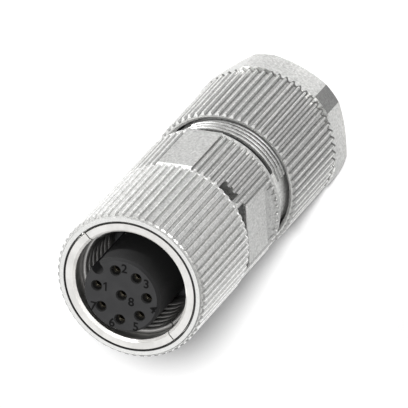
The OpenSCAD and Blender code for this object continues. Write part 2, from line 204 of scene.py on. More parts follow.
class ShaderGraph(NodeBoard):
    """A material's node tree with short calls for the nodes that the finishes share."""

    BLUE_SHARE: float = 0.985
    FLANK_RANGE: tuple[float, float] = (0.55, 0.85)
    WALL_RANGE: tuple[float, float] = (0.1, 0.3)
    FULL_SPREAD: float = 0.6
    NOISE_MIDDLE: float = 0.5

    def __init__(self, name: str) -> None:
        """Start an empty material.

        Args:
            name: The material's name.
        """
        self.material = bpy.data.materials.new(name)
        self.material.use_nodes = True
        super().__init__(self.material.node_tree)
        self.tree.nodes.clear()
        self.output = self.node("ShaderNodeOutputMaterial")
        self.where = self.node("ShaderNodeTexCoord")

    def place(self) -> Socket:
        """Return the object's own coordinates, in metres."""
        return self.where.outputs["Object"]

    def normal(self) -> Socket:
        """Return the surface's normal."""
        return self.where.outputs["Normal"]

    def vectors(self, operation: str, first: object, second: object | None = None) -> bpy.types.Node:
        """Combine one or two vectors.

        Args:
            operation: The Vector Math node's operation.
            first: The first vector or socket.
            second: The second vector or socket, for the operations that take one.

        Returns:
            The new node, with a vector and a plain value as its outputs.
        """
        made = self.node("ShaderNodeVectorMath", operation=operation)
        self.join(first, made.inputs[0])
        if second is not None:
            self.join(second, made.inputs[1])
        return made

    def level(self, vector: Socket) -> Socket:
        """Return a vector without its part along the connector's axis."""
        return self.vectors("MULTIPLY", vector, (1.0, 1.0, 0.0)).outputs["Vector"]

    def unit_level(self, vector: Socket) -> Socket:
        """Return the direction of a vector's part across the connector's axis."""
        return self.vectors("NORMALIZE", self.level(vector)).outputs["Vector"]

    def stretched(self, scale: tuple[float, float, float]) -> Socket:
        """Return the coordinates scaled along each axis."""
        return self.fed("ShaderNodeMapping", Vector=self.place(), Scale=scale).outputs["Vector"]

    def radius(self) -> Socket:
        """Return the distance from the connector's axis, in metres."""
        return self.vectors("LENGTH", self.level(self.place())).outputs["Value"]

    def height(self) -> Socket:
        """Return the height along the connector's axis, in metres."""
        return self.fed("ShaderNodeSeparateXYZ", Vector=self.place()).outputs["Z"]

    def facing(self) -> Socket:
        """Return how squarely a face looks along the axis, from 0 on a side wall to 1 on an end face."""
        return self.maths("ABSOLUTE", self.fed("ShaderNodeSeparateXYZ", Vector=self.normal()).outputs["Z"])

    def share_of(self, first: Socket, second: object) -> Socket:
        """Return how much of a vector lies along another, whichever way it points."""
        return self.maths("ABSOLUTE", self.vectors("DOT_PRODUCT", first, second).outputs["Value"])

    def flank(self) -> Socket:
        """Return how far a side wall turns away from the radial direction.

        Returns:
            0 on crests, grooves and end faces, and 1 on the flanks of ribs.
        """
        outward = self.share_of(self.unit_level(self.place()), self.normal())
        return self.maths("MULTIPLY", self.ramp(outward, *self.FLANK_RANGE, 1.0, 0.0),
                          self.ramp(self.facing(), *self.WALL_RANGE, 1.0, 0.0))

    def towards(self, azimuth_deg: float, spread_deg: float) -> Socket:
        """Find where the surface's normal turns to an azimuth or to the opposite one.

        Args:
            azimuth_deg: The azimuth.
            spread_deg: How far from it still counts.

        Returns:
            1 there and 0 elsewhere.
        """
        low, high = (math.cos(math.radians(part * spread_deg)) for part in (1.0, self.FULL_SPREAD))
        return self.ramp(self.share_of(self.unit_level(self.normal()), level_direction(azimuth_deg)), low, high)

    def between(self, value: Socket, low: float, high: float, edge: float) -> Socket:
        """Find where a value lies in a range, with soft edges.

        Args:
            value: The value to test.
            low: Where the range starts.
            high: Where the range ends.
            edge: How wide each soft edge is.

        Returns:
            1 in the range and 0 outside.
        """
        return self.maths("MULTIPLY", self.ramp(value, low - edge / 2.0, low + edge / 2.0),
                          self.ramp(value, high - edge / 2.0, high + edge / 2.0, 1.0, 0.0))

    def ramp(self, value: Socket, low: float, high: float, to_low: float = 0.0, to_high: float = 1.0) -> Socket:
        """Map a value smoothly from one range to another and clamp it.

        Args:
            value: The value to map.
            low: Where the range starts.
            high: Where the range ends.
            to_low: The result at the start.
            to_high: The result at the end.

        Returns:
            The mapped value.
        """
        mapped = self.node("ShaderNodeMapRange", interpolation_type="SMOOTHSTEP")
        self.feed(mapped, Value=value, From_Min=low, From_Max=high, To_Min=to_low, To_Max=to_high)
        return mapped.outputs["Result"]

    def mixed(self, low: object, high: object, share: Socket) -> Socket:
        """Mix two plain values.

        Args:
            low: The value at share 0.
            high: The value at share 1.
            share: How much of the second value counts.

        Returns:
            The mixed value.
        """
        mix = self.node("ShaderNodeMix", data_type="FLOAT")
        self.join(share, mix.inputs[0])
        self.join(low, mix.inputs[2])
        self.join(high, mix.inputs[3])
        return mix.outputs[0]

    def blend(self, low: Colour, high: Colour, share: Socket) -> Socket:
        """Mix two colours.

        Args:
            low: The colour at share 0.
            high: The colour at share 1.
            share: How much of the second colour shows.

        Returns:
            The mixed colour.
        """
        mix = self.node("ShaderNodeMix", data_type="RGBA")
        self.join(share, mix.inputs[0])
        self.join((*low, 1.0), mix.inputs[6])
        self.join((*high, 1.0), mix.inputs[7])
        return mix.outputs[2]

    def grey(self, tone: Socket) -> Socket:
        """Return a nickel-grey colour of a tone."""
        blue = self.maths("MULTIPLY", tone, self.BLUE_SHARE)
        return self.fed("ShaderNodeCombineColor", Red=tone, Green=tone, Blue=blue).outputs[0]

    def shaded(self, colour: Socket, share: Socket) -> Socket:
        """Return a colour darkened to a share of itself."""
        return self.feed(self.vectors("SCALE", colour), Scale=share).outputs[0]

    def noise(self, per_mm: float, detail: float = 2.0, roughness: float = 0.5, vector: Socket | None = None) -> Socket:
        """Make a noise value round 0.5.

        Args:
            per_mm: Features per millimetre.
            detail: Octaves of finer noise.
            roughness: How strong the finer octaves are.
            vector: Coordinates to use in place of the object's own.

        Returns:
            The noise value.
        """
        return self.fed("ShaderNodeTexNoise", Vector=vector or self.place(), Scale=per_mm * PER_MM, Detail=detail,
                        Roughness=roughness).outputs["Fac"]

    def centred(self, noise: Socket) -> Socket:
        """Return a noise value moved to lie round 0."""
        return self.maths("SUBTRACT", noise, self.NOISE_MIDDLE)

    def bump(self, height: Socket, strength: float, depth: float) -> Socket:
        """Raise the surface by a height value.

        Args:
            height: The height value.
            strength: How much of the relief shows.
            depth: What a height of 1 stands for, in millimetres.

        Returns:
            The new normal.
        """
        return self.fed("ShaderNodeBump", Strength=strength, Distance=depth * MM, Height=height).outputs["Normal"]

    def surface(self, colour: Socket, metallic: float, roughness: Socket, normal: Socket,
                **others: float) -> bpy.types.Material:
        """Finish the material with one Principled surface.

        Args:
            colour: The base colour.
            metallic: 1 for metal and 0 for the rest.
            roughness: The roughness.
            normal: The surface normal.
            others: More inputs by name, with spaces written as underscores.

        Returns:
            The finished material.
        """
        shader = self.fed("ShaderNodeBsdfPrincipled", Base_Color=colour, Metallic=metallic, Roughness=roughness,
                          Normal=normal, **others)
        self.join(shader.outputs[0], self.output.inputs["Surface"])
        return self.material


# ------------------------------
# Finishes
# ------------------------------


@dataclass(frozen=True)
class Zone:
    """A ring-shaped part of a surface, or a flat in it, in millimetres, with a tone set on it: in places the surface's
    own, in places painted shade or painted highlight.
    """

    tone: float
    r_from: float = 0.0
    r_to: float = FAR
    z_from: float = -FAR
    z_to: float = FAR
    edge: float = 0.04
    facing_deg: float | None = None
    spread_deg: float = 2.0
    flat_r: float | None = None
    flat_play: float = 0.05
    flat_edge: float = 0.02

    def mask(self, graph: ShaderGraph) -> Socket:
        """Find the zone on the surface.

        Args:
            graph: The material's graph.

        Returns:
            1 inside the zone and 0 outside.
        """
        inside = graph.maths(
            "MULTIPLY",
            graph.between(graph.radius(), self.r_from * MM, self.r_to * MM, self.edge * MM),
            graph.between(graph.height(), self.z_from * MM, self.z_to * MM, self.edge * MM))
        if self.facing_deg is not None:
            inside = graph.maths("MULTIPLY", inside, graph.towards(self.facing_deg, self.spread_deg))
        if self.facing_deg is not None and self.flat_r is not None:
            distance = graph.share_of(graph.place(), level_direction(self.facing_deg))
            at_flat = graph.between(distance, (self.flat_r - self.flat_play) * MM,
                                    (self.flat_r + self.flat_play) * MM, self.flat_edge * MM)
            inside = graph.maths("MULTIPLY", inside, at_flat)
        return inside


@dataclass(frozen=True)
class CastNickel:
    """Satin nickel plate on a die-casting: sandy grain, painted shade in the grooves and at the feet of the ribs,
    painted light on the rib flanks, rubbed top edges that are partly painted highlight, and faces along the axis
    brighter, partly as painted light.
    """

    name: str
    groove_r: float
    crest_r: float
    groove_shade_tone: float = 0.38
    crest_tone: float = 0.44
    painted_flank_tone: float = 0.56
    wear_and_highlight_tone: float = 0.75
    foot_shade_tone: float = 0.3
    machined_and_lit_face_tone: float = 0.80
    chamfer_from: float = 0.45
    chamfer_tone: float = 0.4
    chamfer_edge: float = 0.12
    faced_from: float = 0.86
    faced_full: float = 0.95
    zones: tuple[Zone, ...] = ()
    cloud_per_mm: float = 0.45
    cloud_share: float = 0.5
    foot_range: tuple[float, float, float] = (-0.06, 0.09, 0.04)
    rim_range: tuple[float, float, float] = (-0.07, 0.03, 0.05)
    roughness: float = 0.5
    chamfer_roughness: float = 0.75
    faced_roughness: float = 0.3
    sand_roughness: float = 0.3
    grain_per_mm: float = 4.2
    grain_depth: float = 0.014
    grain_strength: float = 0.6
    grain_contrast: float = 1.6
    faced_contrast: float = 0.25

    @staticmethod
    def _ring(graph: ShaderGraph, at_r: float, extent: tuple[float, float, float]) -> Socket:
        """Find a narrow ring round the axis.

        Args:
            graph: The material's graph.
            at_r: The radius that the ring lies round.
            extent: Where it starts and ends from that radius, and how soft its edges are.

        Returns:
            1 in the ring and 0 outside.
        """
        low, high, edge = extent
        return graph.between(graph.radius(), (at_r + low) * MM, (at_r + high) * MM, edge * MM)

    def _side(self, graph: ShaderGraph) -> Socket:
        """Tone the ribbed side: painted shade in the grooves and at the feet of the ribs, painted light on the flanks,
        and rubbed top edges that are partly painted highlight.

        Args:
            graph: The material's graph.

        Returns:
            The side's tone.
        """
        # Painted shade: the tone falls from crest to groove by radius, with a random cloud over it.
        crest = graph.ramp(graph.radius(), self.groove_r * MM, self.crest_r * MM)
        cloud = graph.centred(graph.noise(self.cloud_per_mm, detail=3.0))
        depth_shade_with_cloud = graph.maths("MULTIPLY_ADD", cloud, self.cloud_share, crest)
        side = graph.maths("MULTIPLY_ADD", depth_shade_with_cloud, self.crest_tone - self.groove_shade_tone, self.groove_shade_tone)
        # Painted light: the rib flanks, found by their normals, take a tone of their own.
        flank = graph.flank()
        tone = graph.mixed(side, self.painted_flank_tone, flank)
        # Painted shade: the flanks darken at their foot, where they meet the groove.
        foot = self._ring(graph, self.groove_r, self.foot_range)
        tone = graph.mixed(tone, self.foot_shade_tone, graph.maths("MULTIPLY", foot, flank))
        # Rubbed top edges of the flanks, lightened partly as painted highlight.
        rim = self._ring(graph, self.crest_r, self.rim_range)
        return graph.mixed(tone, self.wear_and_highlight_tone, graph.maths("MULTIPLY", rim, flank))

    def build(self) -> bpy.types.Material:
        """Build the finish.

        Returns:
            The material.
        """
        graph = ShaderGraph(self.name)
        tone = self._side(graph)
        facing = graph.facing()
        chamfer = graph.between(facing, self.chamfer_from, self.faced_from, self.chamfer_edge)
        # Faces along the axis brighten, partly for their machined finish and partly as painted light.
        faced = graph.ramp(facing, self.faced_from, self.faced_full)
        tone = graph.mixed(graph.mixed(tone, self.chamfer_tone, chamfer), self.machined_and_lit_face_tone, faced)
        for zone in self.zones:
            tone = graph.mixed(tone, zone.tone, zone.mask(graph))
        grain = graph.noise(self.grain_per_mm, detail=3.0, roughness=0.7)
        sand = graph.centred(grain)
        speckle = graph.maths("MULTIPLY", sand, graph.mixed(self.grain_contrast, self.faced_contrast, faced))
        tone = graph.maths("MULTIPLY_ADD", speckle, tone, tone)
        polish = graph.mixed(graph.mixed(self.roughness, self.chamfer_roughness, chamfer), self.faced_roughness, faced)
        rough = graph.maths("MULTIPLY_ADD", sand, self.sand_roughness, polish)
        return graph.surface(graph.grey(tone), 1.0, rough, graph.bump(grain, self.grain_strength, self.grain_depth))


@dataclass(frozen=True)
class TurnedNickel:
    """Bright nickel plate on turned brass, with fine tool marks round the axis and painted shade in the thread's bore.
    """

    name: str
    tone: Colour = (0.82, 0.81, 0.79)
    smudge_share: float = 0.88
    smudge_per_mm: float = 0.6
    roughness: float = 0.36
    edge_roughness: float = 0.8
    edge_z: float = 38.75
    bore_r: float = 6.3
    painted_bore_shade: float = 0.55
    bore_fade: float = 0.4
    soft: float = 0.05
    clean_range: tuple[float, float] = (0.35, 0.6)
    marks_per_mm: float = 14.0
    marks_range: tuple[float, float] = (0.25, 0.75)
    marks_roughness: tuple[float, float] = (-0.05, 0.08)
    marks_strength: float = 0.3
    marks_depth: float = 0.004

    def _in_bore(self, graph: ShaderGraph) -> Socket:
        """Find the thread's bore, where shade is painted.

        Args:
            graph: The material's graph.

        Returns:
            1 in the bore and 0 outside.
        """
        inside = graph.ramp(graph.radius(), (self.bore_r - self.soft) * MM, self.bore_r * MM, 1.0, 0.0)
        below = graph.ramp(graph.height(), (self.edge_z - self.bore_fade) * MM, self.edge_z * MM, 1.0, 0.0)
        return graph.maths("MULTIPLY", inside, below)

    def build(self) -> bpy.types.Material:
        """Build the finish.

        Returns:
            The material.
        """
        graph = ShaderGraph(self.name)
        profile = graph.fed("ShaderNodeCombineXYZ", X=graph.radius(), Z=graph.height()).outputs["Vector"]
        marks = graph.noise(self.marks_per_mm, vector=profile)
        smudged = tuple(self.smudge_share * part for part in self.tone)
        clean = graph.ramp(graph.noise(self.smudge_per_mm, detail=3.0), *self.clean_range)
        # Painted shade: the colour darkens inside the thread's bore.
        colour = graph.shaded(graph.blend(smudged, self.tone, clean),
                              graph.mixed(1.0, self.painted_bore_shade, self._in_bore(graph)))
        rough = graph.ramp(marks, *self.marks_range, *(self.roughness + part for part in self.marks_roughness))
        edge = graph.maths("MULTIPLY", graph.between(graph.facing(), *EDGE_FACING),
                           graph.ramp(graph.height(), (self.edge_z - self.soft) * MM, (self.edge_z + self.soft) * MM))
        return graph.surface(colour, 1.0, graph.mixed(rough, self.edge_roughness, edge),
                             graph.bump(marks, self.marks_strength, self.marks_depth))


@dataclass(frozen=True)
class MouldedPlastic:
    """Glass-filled polyamide with a fine moulded grain, with painted shade that can darken its side walls."""

    name: str
    tone: Colour
    lift: Colour
    roughness: float = 0.5
    edge_roughness: float = 0.85
    specular: float = 0.5
    painted_side_shade: float = 1.0
    side_range: tuple[float, float] = (0.85, 0.97)
    flow_per_mm: float = 0.7
    flow_stretch: tuple[float, float, float] = (1.0, 1.0, 0.3)
    flow_range: tuple[float, float] = (0.3, 0.75)
    grain_per_mm: float = 9.0
    grain_range: tuple[float, float] = (0.3, 0.7)
    grain_roughness: tuple[float, float] = (-0.06, 0.1)
    grain_strength: float = 0.35
    grain_depth: float = 0.004

    def build(self) -> bpy.types.Material:
        """Build the finish.

        Returns:
            The material.
        """
        graph = ShaderGraph(self.name)
        grain = graph.noise(self.grain_per_mm, detail=4.0, roughness=0.7)
        flow = graph.noise(self.flow_per_mm, vector=graph.stretched(self.flow_stretch))
        # Painted shade: side walls, which face across the axis, darken to a share of the colour.
        colour = graph.shaded(graph.blend(self.tone, self.lift, graph.ramp(flow, *self.flow_range)),
                              graph.ramp(graph.facing(), *self.side_range, self.painted_side_shade, 1.0))
        rough = graph.ramp(grain, *self.grain_range, *(self.roughness + part for part in self.grain_roughness))
        dulled = graph.mixed(rough, self.edge_roughness, graph.between(graph.facing(), *EDGE_FACING))
        return graph.surface(colour, 0.0, dulled, graph.bump(grain, self.grain_strength, self.grain_depth),
                             Specular_IOR_Level=self.specular)


@dataclass(frozen=True)
class GoldPlate:
    """Thin gold on a turned contact, duller in patches."""

    name: str
    # The tone is far darker than real gold: painted shade of the deep holes the contacts sit in.
    tone: Colour = (0.34, 0.3, 0.22)
    dull_tone: Colour = (0.24, 0.21, 0.15)
    roughness: tuple[float, float] = (0.18, 0.3)
    patch_per_mm: float = 0.9
    patch_range: tuple[float, float] = (0.35, 0.6)
    marks_per_mm: float = 12.0
    marks_stretch: tuple[float, float, float] = (0.2, 0.2, 1.0)
    marks_range: tuple[float, float] = (0.3, 0.7)
    marks_strength: float = 0.2
    marks_depth: float = 0.002

    def build(self) -> bpy.types.Material:
        """Build the finish.

        Returns:
            The material.
        """
        graph = ShaderGraph(self.name)
        marks = graph.noise(self.marks_per_mm, vector=graph.stretched(self.marks_stretch))
        patch = graph.ramp(graph.noise(self.patch_per_mm), *self.patch_range)
        return graph.surface(graph.blend(self.dull_tone, self.tone, patch), 1.0,
                             graph.ramp(marks, *self.marks_range, *self.roughness),
                             graph.bump(marks, self.marks_strength, self.marks_depth))


@dataclass(frozen=True)
class SealRubber:
    """Black nitrile rubber with a faint bloom."""

    name: str
    tone: Colour = (0.018, 0.018, 0.019)
    bloom_tone: Colour = (0.05, 0.05, 0.052)
    roughness: tuple[float, float] = (0.5, 0.72)
    roughness_range: tuple[float, float] = (0.3, 0.7)
    bloom_per_mm: float = 0.8
    bloom_range: tuple[float, float] = (0.4, 0.75)
    skin_per_mm: float = 7.0
    skin_strength: float = 0.25
    skin_depth: float = 0.006

    def build(self) -> bpy.types.Material:
        """Build the finish.

        Returns:
            The material.
        """
        graph = ShaderGraph(self.name)
        bloom = graph.noise(self.bloom_per_mm, detail=4.0, roughness=0.6)
        skin = graph.noise(self.skin_per_mm)
        return graph.surface(graph.blend(self.tone, self.bloom_tone, graph.ramp(bloom, *self.bloom_range)), 0.0,
                             graph.ramp(bloom, *self.roughness_range, *self.roughness),
                             graph.bump(skin, self.skin_strength, self.skin_depth))


class Finish(Enum):
    """Every finish on the connector, each tied to the record's slot it stands for."""

    NUT = ("nickel_nut", CastNickel("satin_nickel_nut", groove_r=7.72, crest_r=8.0, groove_shade_tone=0.44, crest_tone=0.5,
                                    painted_flank_tone=0.62, foot_shade_tone=0.44, wear_and_highlight_tone=0.95, chamfer_tone=0.32,
                                    zones=(Zone(0.05, r_to=7.19, z_from=38.9),
                                           # Painted highlight: a white ring along the sleeve's rear edge.
                                           Zone(1.0, r_from=7.6, z_to=27.05))))
    BODY = ("nickel_body", CastNickel("satin_nickel_housing", groove_r=7.56, crest_r=7.87, groove_shade_tone=0.4,
                                      painted_flank_tone=0.42, foot_shade_tone=0.28, wear_and_highlight_tone=0.75,
                                      zones=(Zone(0.5, z_from=18.5, facing_deg=48.0, flat_r=7.0),
                                             # Painted shadow: the step in front of the spanner flat, under the coupling
                                             # nut's edge.
                                             Zone(0.04, z_from=24.9, facing_deg=48.0, flat_r=6.65),
                                             Zone(0.44, z_from=18.5, facing_deg=-42.0, flat_r=7.6),
                                             # Painted highlight: a bright band along the label flat's front edge.
                                             Zone(0.9, z_from=26.15, facing_deg=-42.0),
                                             Zone(0.4, r_from=7.4, z_from=18.5, z_to=18.75),
                                             # Painted shade: the undercut behind the rim and the roots of the neck's
                                             # thread are darkened.
                                             Zone(0.06, r_to=6.72, z_from=17.0),
                                             Zone(0.09, r_to=6.78, z_from=16.2, z_to=17.0),
                                             Zone(0.2, r_from=6.7, r_to=6.78, z_to=16.2),
                                             Zone(0.65, r_from=6.78, r_to=7.1, z_to=17.0))))
    # Painted shade: the neck's thread ridges are darkened, most of all in their grooves.
    NECK = ("nickel_body", CastNickel("satin_nickel_neck", groove_r=6.78, crest_r=7.05, groove_shade_tone=0.02,
                                      crest_tone=0.27, chamfer_from=0.95))
    GLAND = ("nickel_body", CastNickel("satin_nickel_gland", groove_r=7.58, crest_r=7.93, groove_shade_tone=0.38,
                                       painted_flank_tone=0.38, foot_shade_tone=0.26, wear_and_highlight_tone=0.7, chamfer_tone=0.38,
                                       zones=(Zone(0.5, z_to=3.8, facing_deg=53.0, flat_r=7.5),
                                              Zone(0.5, z_to=3.8, facing_deg=113.0, flat_r=7.5),
                                              # Painted shade: the flat pair facing 173 degrees is toned darker than the
                                              # others.
                                              Zone(0.4, z_to=3.8, facing_deg=173.0, flat_r=7.5),
                                              # Painted reflection: a dark strip on the hex corners facing 83 degrees.
                                              Zone(0.2, r_from=8.06, z_to=3.7, facing_deg=83.0, spread_deg=16.0),
                                              # Painted shade: a dark ring where the ribs end at the hex shoulder.
                                              Zone(0.15, r_from=7.55, z_from=3.72, z_to=4.05))))
    TURNED = ("nickel_turned", TurnedNickel("bright_turned_nickel"))
    INSULATOR = ("insulator", MouldedPlastic("black_polyamide", tone=(0.028, 0.028, 0.029),
                                             lift=(0.036, 0.036, 0.037), specular=0.3, painted_side_shade=0.2))
    NUMBERS = ("insulator", MouldedPlastic("black_polyamide_numbers", tone=(0.004, 0.004, 0.004),
                                           lift=(0.006, 0.006, 0.006), roughness=0.7, specular=0.08))
    CONTACT = ("contact_metal", GoldPlate("gold_plate"))
    RUBBER = ("seal_rubber", SealRubber("nitrile_rubber"))
    CAGE = ("cage_plastic", MouldedPlastic("natural_polyamide", tone=(0.52, 0.51, 0.47), lift=(0.62, 0.61, 0.57),
                                           roughness=0.42))

    @property
    def slot(self) -> str:
        """Return the record's material slot."""
        return self.value[0]

    def material(self) -> bpy.types.Material:
        """Return the finish's material, built at its first use."""
        recipe = self.value[1]
        return bpy.data.materials.get(recipe.name) or recipe.build()


def dress(objects: Iterable[bpy.types.Object], finish: Finish) -> None:
    """Give objects a finish.

    Args:
        objects: The CAD nodes' objects, or a copy of one.
        finish: The finish that they get.
    """
    material = finish.material()
    for thing in objects:
        for slot in thing.material_slots:
            slot.material = material
        if not thing.material_slots:
            thing.data.materials.append(material)
        LOG.info("%s: %s", thing.name, material.name)


# ------------------------------
# Screw threads
# ------------------------------


class RidgeTree(NodeBoard):
    """A Geometry Nodes tree that lays stacked helical ridges along two opposite sides of a cylinder."""

    INPUTS: tuple[tuple[str, str, float], ...] = (
        ("Radius", "NodeSocketFloat", 0.006),
        ("Pitch", "NodeSocketFloat", 0.001),
        ("Turns Of A Side", "NodeSocketFloat", 0.5),
        ("Ridges", "NodeSocketInt", 8),
        ("Start Angle", "NodeSocketFloat", 0.0),
        ("Start Height", "NodeSocketFloat", 0.0),
        ("Depth", "NodeSocketFloat", 0.0005),
        ("Outward", "NodeSocketFloat", 1.0),
        ("Root Width", "NodeSocketFloat", 0.0008),
        ("Crest Width", "NodeSocketFloat", 0.0001),
        ("Points A Turn", "NodeSocketInt", 120),
        ("Fading Share", "NodeSocketFloat", 0.2),
        ("End Size", "NodeSocketFloat", 1.0),
    )

    def __init__(self, name: str) -> None:
        """Build the tree.

        Args:
            name: The node group's name.
        """
        super().__init__(bpy.data.node_groups.new(name, "GeometryNodeTree"))
        self.identifiers: dict[str, str] = {}
        for label, kind, default in self.INPUTS:
            self._offer(label, kind).default_value = default
        self._offer("Material", "NodeSocketMaterial")
        self.tree.interface.new_socket("Geometry", in_out="OUTPUT", socket_type="NodeSocketGeometry")
        self._wire()

    def _offer(self, label: str, kind: str) -> bpy.types.NodeTreeInterfaceSocket:
        """Add a named input to the tree.

        Args:
            label: The input's name.
            kind: Its socket type.

        Returns:
            The new socket.
        """
        socket = self.tree.interface.new_socket(label, in_out="INPUT", socket_type=kind)
        self.identifiers[label] = socket.identifier
        return socket

    def _vector(self, x: object = 0.0, z: object = 0.0) -> Socket:
        """Return a vector with parts along X and Z."""
        return self.fed("ShaderNodeCombineXYZ", X=x, Z=z).outputs[0]

    def _ridge(self, given: bpy.types.bpy_prop_collection) -> Socket:
        """Sweep one ridge with fading ends.

        Args:
            given: The tree's inputs by label.

        Returns:
            The ridge.
        """
        rise = self.maths("MULTIPLY", given["Pitch"], given["Turns Of A Side"])
        path = self.fed("GeometryNodeCurveSpiral", Resolution=given["Points A Turn"],
                        Rotations=given["Turns Of A Side"], Start_Radius=given["Radius"],
                        End_Radius=given["Radius"], Height=rise, Reverse=True)
        upright = self.feed(self.node("GeometryNodeSetCurveNormal", mode="Z_UP"), Curve=path.outputs[0])
        outline = self.feed(self.node("GeometryNodeCurvePrimitiveQuadrilateral", mode="TRAPEZOID"),
                            Bottom_Width=given["Root Width"], Top_Width=given["Crest Width"],
                            Height=given["Depth"], Offset=0.0)
        half = self.maths("MULTIPLY", self.maths("MULTIPLY", given["Depth"], given["Outward"]), 0.5)
        turned = self.fed("GeometryNodeTransform", Geometry=outline.outputs[0], Translation=self._vector(x=half),
                          Rotation=self._vector(z=self.maths("MULTIPLY", given["Outward"], -math.pi / 2)))
        along = self.node("GeometryNodeSplineParameter").outputs["Factor"]
        to_end = self.maths("MINIMUM", along, self.maths("SUBTRACT", 1.0, along))
        full = self.maths("MINIMUM", self.maths("DIVIDE", to_end, given["Fading Share"]), 1.0)
        rest = self.maths("MULTIPLY", self.maths("SUBTRACT", 1.0, given["End Size"]), full)
        faded = self.fed("GeometryNodeSetCurveRadius", Curve=upright.outputs[0],
                         Radius=self.maths("ADD", given["End Size"], rest))
        return self.fed("GeometryNodeCurveToMesh", Curve=faded.outputs[0], Profile_Curve=turned.outputs[0],
                        Fill_Caps=True).outputs[0]

    def _wire(self) -> None:
        """Link the nodes: the ridge, its stack, the opposite side, and the material."""
        given = self.node("NodeGroupInput").outputs
        line = self.fed("GeometryNodeMeshLine", Count=given["Ridges"], Offset=self._vector(z=given["Pitch"]))
        stack = self.fed("GeometryNodeInstanceOnPoints", Points=line.outputs[0], Instance=self._ridge(given))
        half_pitch = self.maths("MULTIPLY", given["Pitch"], 0.5)
        opposite = self.fed("GeometryNodeTransform", Geometry=stack.outputs[0],
                            Translation=self._vector(z=half_pitch), Rotation=(0.0, 0.0, math.pi))
        both = self.node("GeometryNodeJoinGeometry")
        self.join(opposite.outputs[0], both.inputs[0])
        self.join(stack.outputs[0], both.inputs[0])
        placed = self.fed("GeometryNodeTransform", Geometry=both.outputs[0],
                          Translation=self._vector(z=given["Start Height"]),
                          Rotation=self._vector(z=given["Start Angle"]))
        real = self.fed("GeometryNodeRealizeInstances", Geometry=placed.outputs[0])
        coated = self.fed("GeometryNodeSetMaterial", Geometry=real.outputs[0], Material=given["Material"])
        self.join(coated.outputs[0], self.node("NodeGroupOutput").inputs[0])

    def make(self, name: str, values: dict[str, object]) -> bpy.types.Object:
        """Run the tree and keep its result as a plain mesh.

        Args:
            name: The new object's name.
            values: The inputs' values by label.

        Returns:
            The finished object, at the origin.
        """
        holder = add_to_scene(name, bpy.data.meshes.new(name + "_seed"))
        modifier = holder.modifiers.new("ridges", "NODES")
        modifier.node_group = self.tree
        for label, value in values.items():
            modifier[self.identifiers[label]] = value
        mesh = plain_mesh(holder)
        mesh.name = name
        holder.modifiers.remove(modifier)
        holder.data = mesh
        return holder


@dataclass
class ScrewThread:
    """A screw thread whose core is in a CAD node and whose ridges are added here, on two opposite sides."""

    name: str
    body: Body
    side: ThreadSide
    finish: Finish
    core_r: float
    crest_r: float
    pitch: float
    start_z: float
    length: float
    middle_deg: float
    span_deg: float
    root_share: float = 0.86
    crest_share: float = 0.14
    end_size: float = 1.0
    fading_share: float = 0.2
    points_a_turn: int = 144
    sunk: float = 0.01

    def build(self, tree: RidgeTree) -> None:
        """Make the ridges and let them ride on their body.

        Args:
            tree: The Geometry Nodes tree that makes them.
        """
        made = tree.make(self.name, {
            "Radius": (self.core_r - self.side.value * self.sunk) * MM,
            "Pitch": self.pitch * MM,
            "Turns Of A Side": self.span_deg / 360.0,
            "Ridges": int(self.length / self.pitch),
            "Start Angle": math.radians(self.middle_deg - self.span_deg / 2.0),
            "Start Height": self.start_z * MM,
            "Depth": (abs(self.crest_r - self.core_r) + self.sunk) * MM,
            "Outward": float(self.side.value),
            "Root Width": self.pitch * self.root_share * MM,
            "Crest Width": self.pitch * self.crest_share * MM,
            "Points A Turn": self.points_a_turn,
            "Fading Share": self.fading_share,
            "End Size": self.end_size,
            "Material": self.finish.material(),
        })
        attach(made, self.body.value)
        LOG.info("%s: %d faces", made.name, len(made.data.polygons))


# ------------------------------
# Contact numbers
# ------------------------------


@dataclass(frozen=True)
class Numeral:
    """One number beside a contact hole, placed by its distance and angle from the axis."""

    text: str
    radius: float
    angle_deg: float
    turn_deg: float = 0.0


